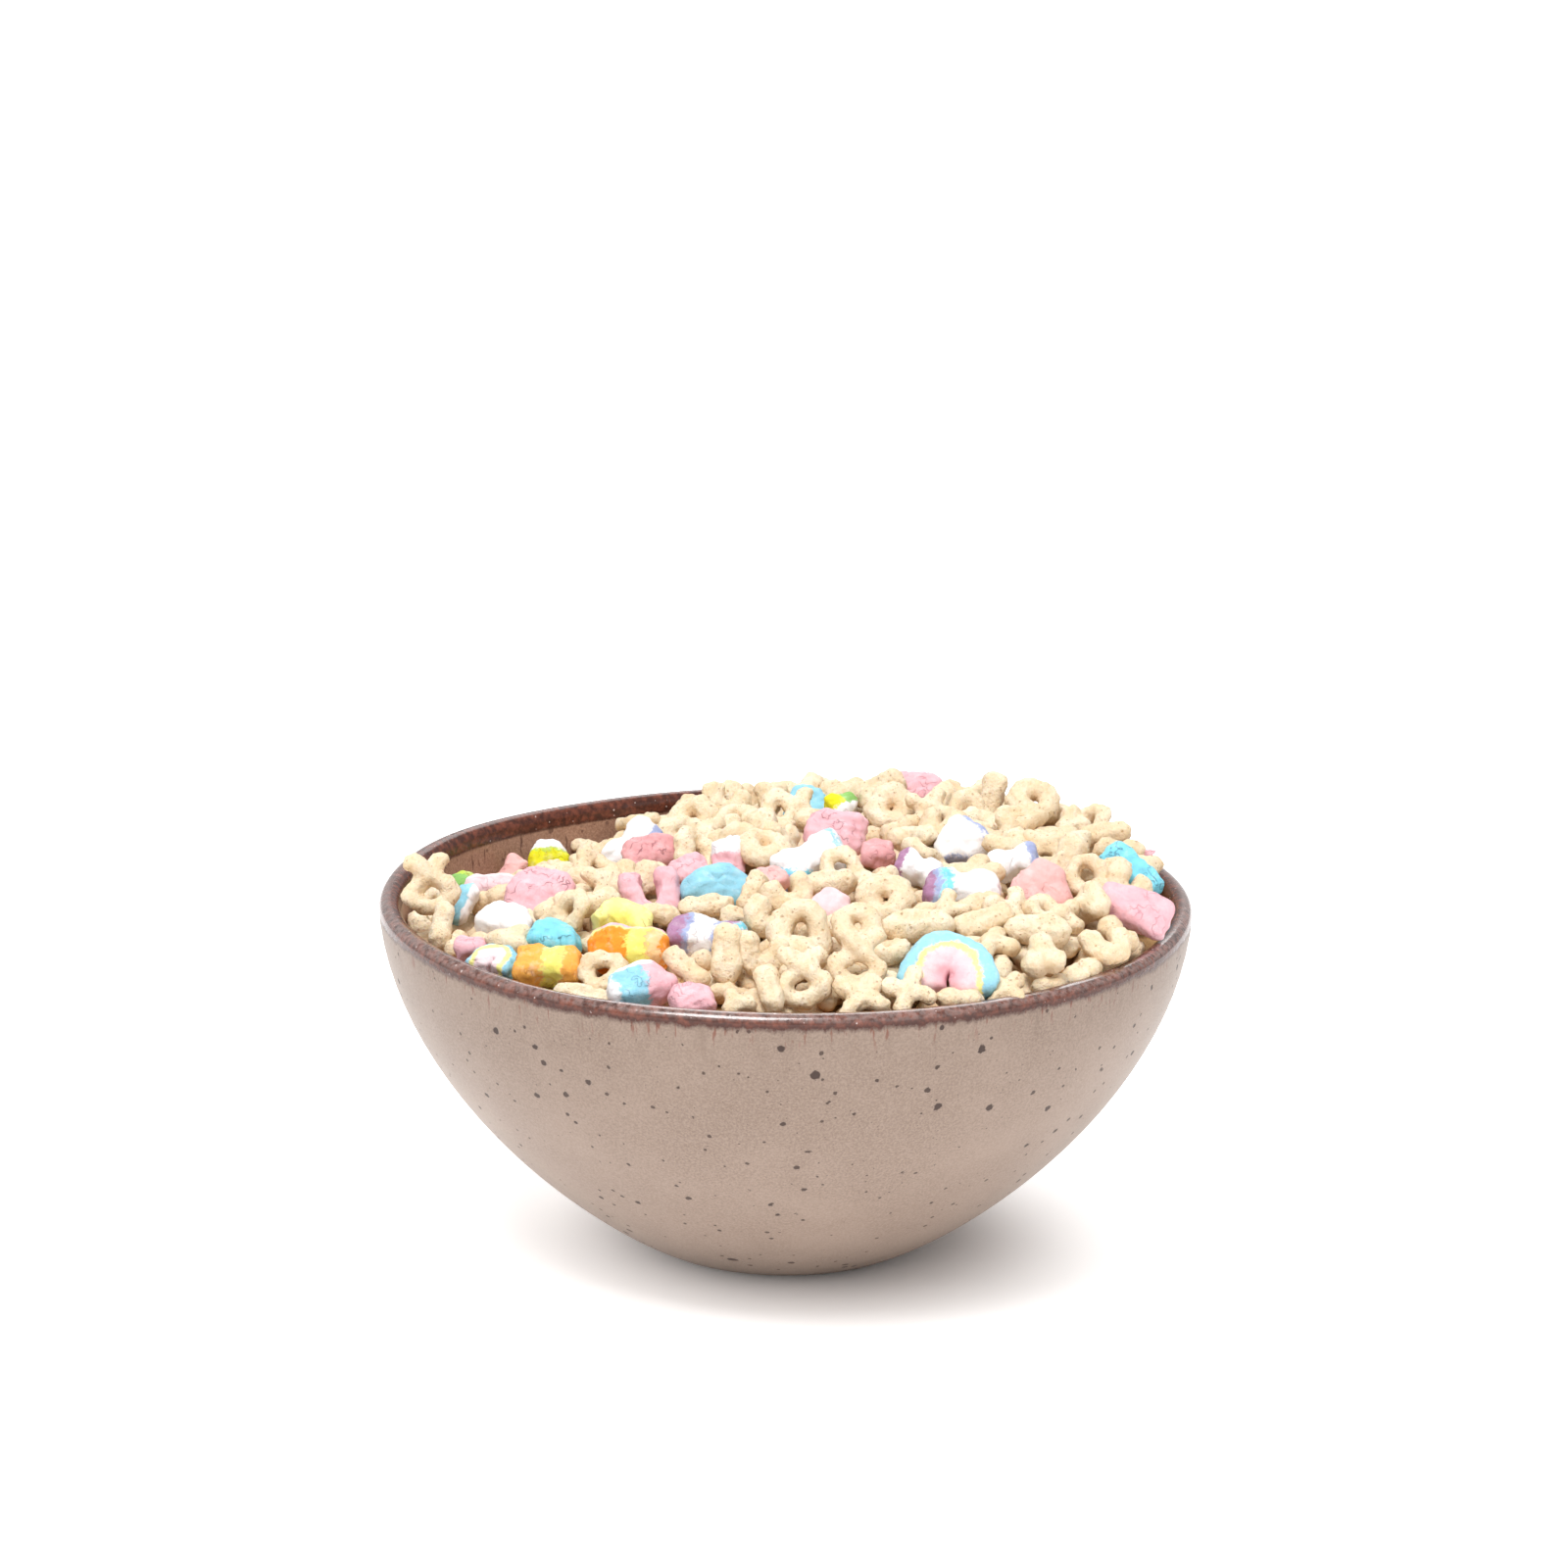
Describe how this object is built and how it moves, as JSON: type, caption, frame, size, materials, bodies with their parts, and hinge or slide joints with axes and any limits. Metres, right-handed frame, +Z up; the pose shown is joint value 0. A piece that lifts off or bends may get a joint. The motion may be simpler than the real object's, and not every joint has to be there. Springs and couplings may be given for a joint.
{
  "type": "bowl of cereal",
  "caption": "Round stoneware bowl filled with toasted oat loop cereal and dried marshmallow pieces, standing on a flat foot.",
  "frame": {"origin": "centre of the bowl's foot, on the surface that it stands on", "axes": "+Z up through the bowl's mouth, -Y towards the side from which the heap is seen, +X towards the side where the heap is highest"},
  "size_m": [0.1458, 0.1458, 0.0758],
  "materials": {
    "speckled_glaze": "satin speckled stoneware glaze, warm taupe, with a bare dark brown rim",
    "toasted_oat": "dry toasted oat, pale straw with fine bran specks",
    "marshmallow_pink": "dry powdery marshmallow",
    "marshmallow_pale_pink": "dry powdery marshmallow",
    "marshmallow_salmon": "dry powdery marshmallow",
    "marshmallow_white": "dry powdery marshmallow",
    "marshmallow_sky_blue": "dry powdery marshmallow",
    "marshmallow_pale_blue": "dry powdery marshmallow",
    "marshmallow_orange": "dry powdery marshmallow",
    "marshmallow_yellow": "dry powdery marshmallow",
    "marshmallow_green": "dry powdery marshmallow"
  },
  "bodies": {
    "root": {"bowl": "speckled_glaze", "cereal_heap": "toasted_oat", "marsh_green_left": "marshmallow_green", "marsh_blue_left": "marshmallow_pale_blue", "marsh_pink_bar_left": "marshmallow_pale_pink", "marsh_pink_disc": "marshmallow_pink", "marsh_white_left": "marshmallow_white", "marsh_cyan_left": "marshmallow_sky_blue", "marsh_hat": "marshmallow_yellow", "marsh_red_strip": "marshmallow_salmon", "marsh_pink_small": "marshmallow_pink", "marsh_rainbow_left": "marshmallow_pale_pink", "marsh_orange_left": "marshmallow_orange", "marsh_orange_mid": "marshmallow_orange", "marsh_yellow_curl": "marshmallow_yellow", "marsh_pink_vee": "marshmallow_pink", "marsh_white_back_left": "marshmallow_white", "marsh_pink_lump": "marshmallow_pink", "marsh_pink_square": "marshmallow_pink", "marsh_pink_white": "marshmallow_pale_pink", "marsh_half_moon": "marshmallow_sky_blue", "marsh_white_banded": "marshmallow_white", "marsh_blue_front": "marshmallow_pale_blue", "marsh_pink_front": "marshmallow_pale_pink", "marsh_blue_far": "marshmallow_sky_blue", "marsh_clover": "marshmallow_green", "marsh_pink_far": "marshmallow_pink", "marsh_pink_behind": "marshmallow_pale_pink", "marsh_pink_block": "marshmallow_pink", "marsh_white_blue": "marshmallow_white", "marsh_dark_pink": "marshmallow_pink", "marsh_pale_pink": "marshmallow_pale_pink", "marsh_white_peak": "marshmallow_white", "marsh_white_knob": "marshmallow_white", "marsh_white_block": "marshmallow_white", "marsh_white_right": "marshmallow_white", "marsh_salmon": "marshmallow_salmon", "marsh_cyan_right": "marshmallow_sky_blue", "marsh_pink_right": "marshmallow_pink", "marsh_rainbow": "marshmallow_pale_pink", "marsh_pink_between": "marshmallow_salmon"}
  },
  "joints": []
}
